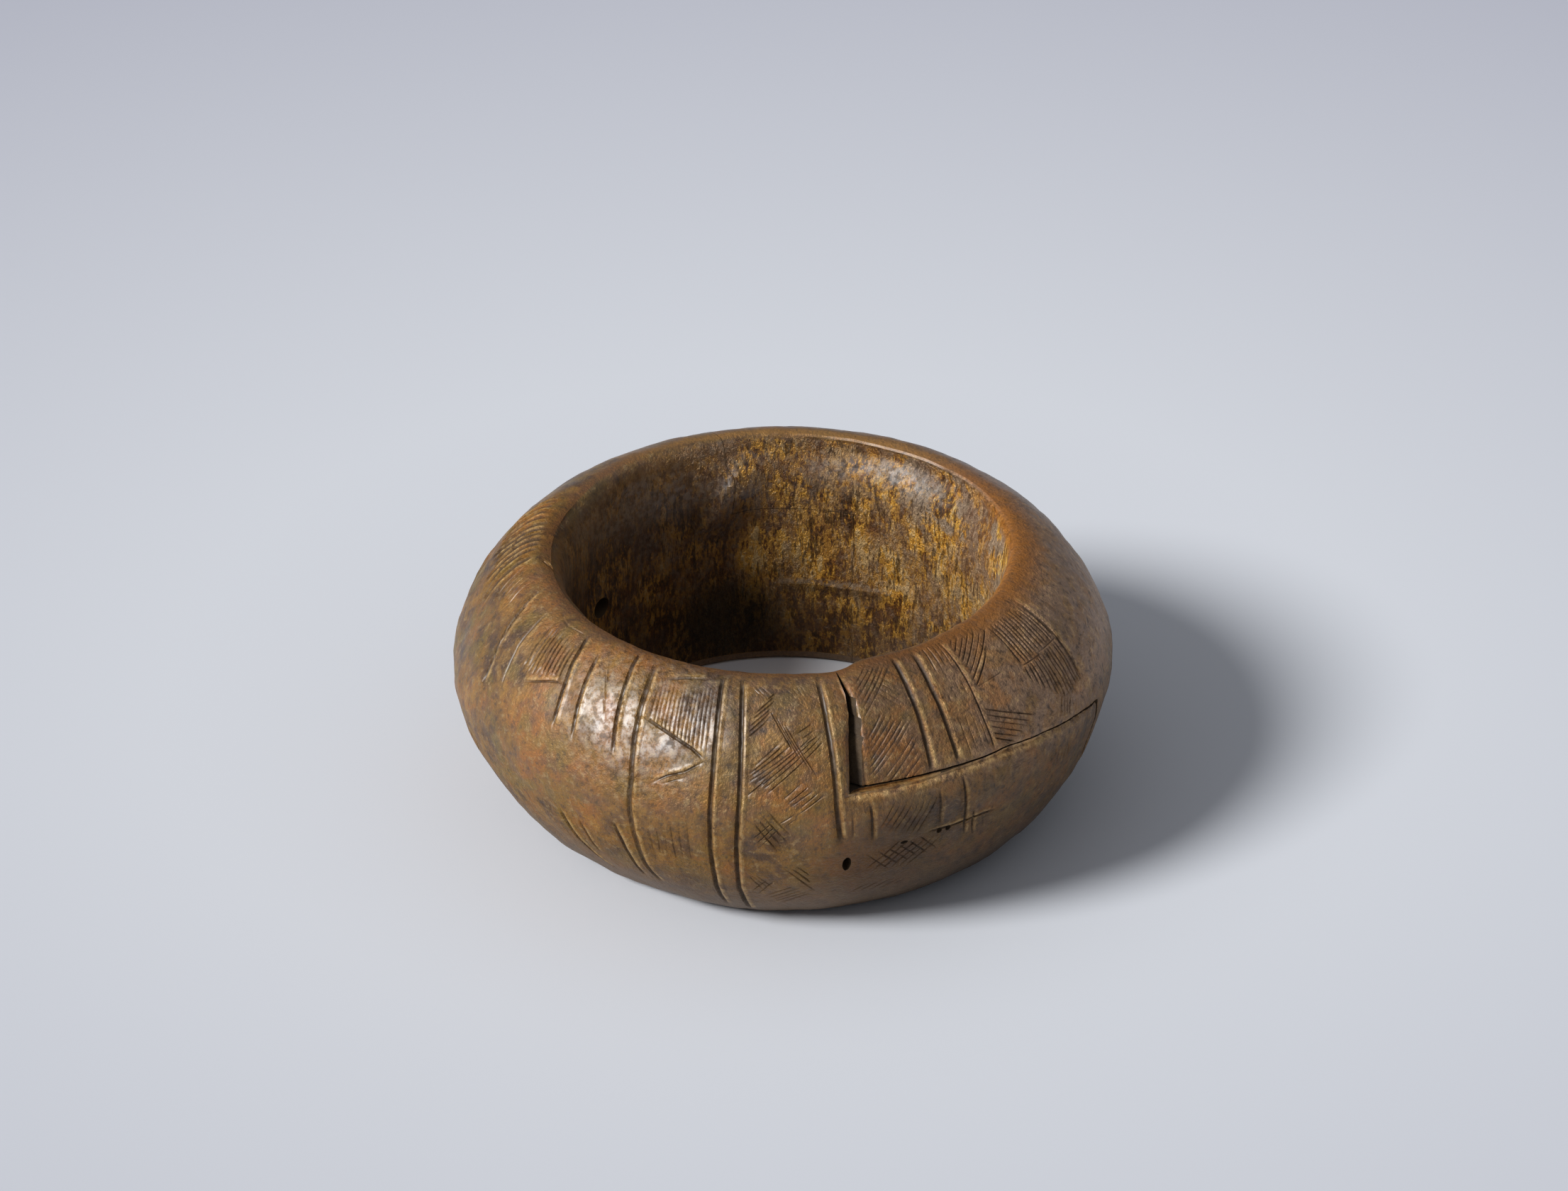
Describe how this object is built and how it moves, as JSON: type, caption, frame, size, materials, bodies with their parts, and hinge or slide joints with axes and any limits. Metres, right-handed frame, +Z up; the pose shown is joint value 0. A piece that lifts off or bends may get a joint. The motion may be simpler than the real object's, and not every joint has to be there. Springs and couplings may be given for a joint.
{
  "type": "hinged currency bracelet",
  "caption": "Heavy cast brass currency bracelet with a bulging D-section and incised panels, opened by a hinged gate that closes on a stepped lap.",
  "frame": {"origin": "centre of the ring at the level of its foot", "axes": "+Z up along the ring's axis, -Y towards the front, +X to the gate's side"},
  "size_m": [0.1, 0.1, 0.041],
  "materials": {
    "cast_brass": "cast, worn and patinated",
    "gate_brass": "cast, worn, greyer patina",
    "pin_iron": "dark forged iron",
    "peg_brass": "rubbed bright"
  },
  "bodies": {
    "left_body": {"left_half": "cast_brass", "hinge_pin": "pin_iron"},
    "gate": {"right_half": "gate_brass", "closing_peg": "peg_brass"}
  },
  "joints": [
    {"name": "gate_hinge", "type": "hinge", "parent": "left_body", "child": "gate", "pos_m": [0.00145, 0.04147, 0.02], "axis": [0, 0, 1], "range_deg": [0, 90]}
  ]
}
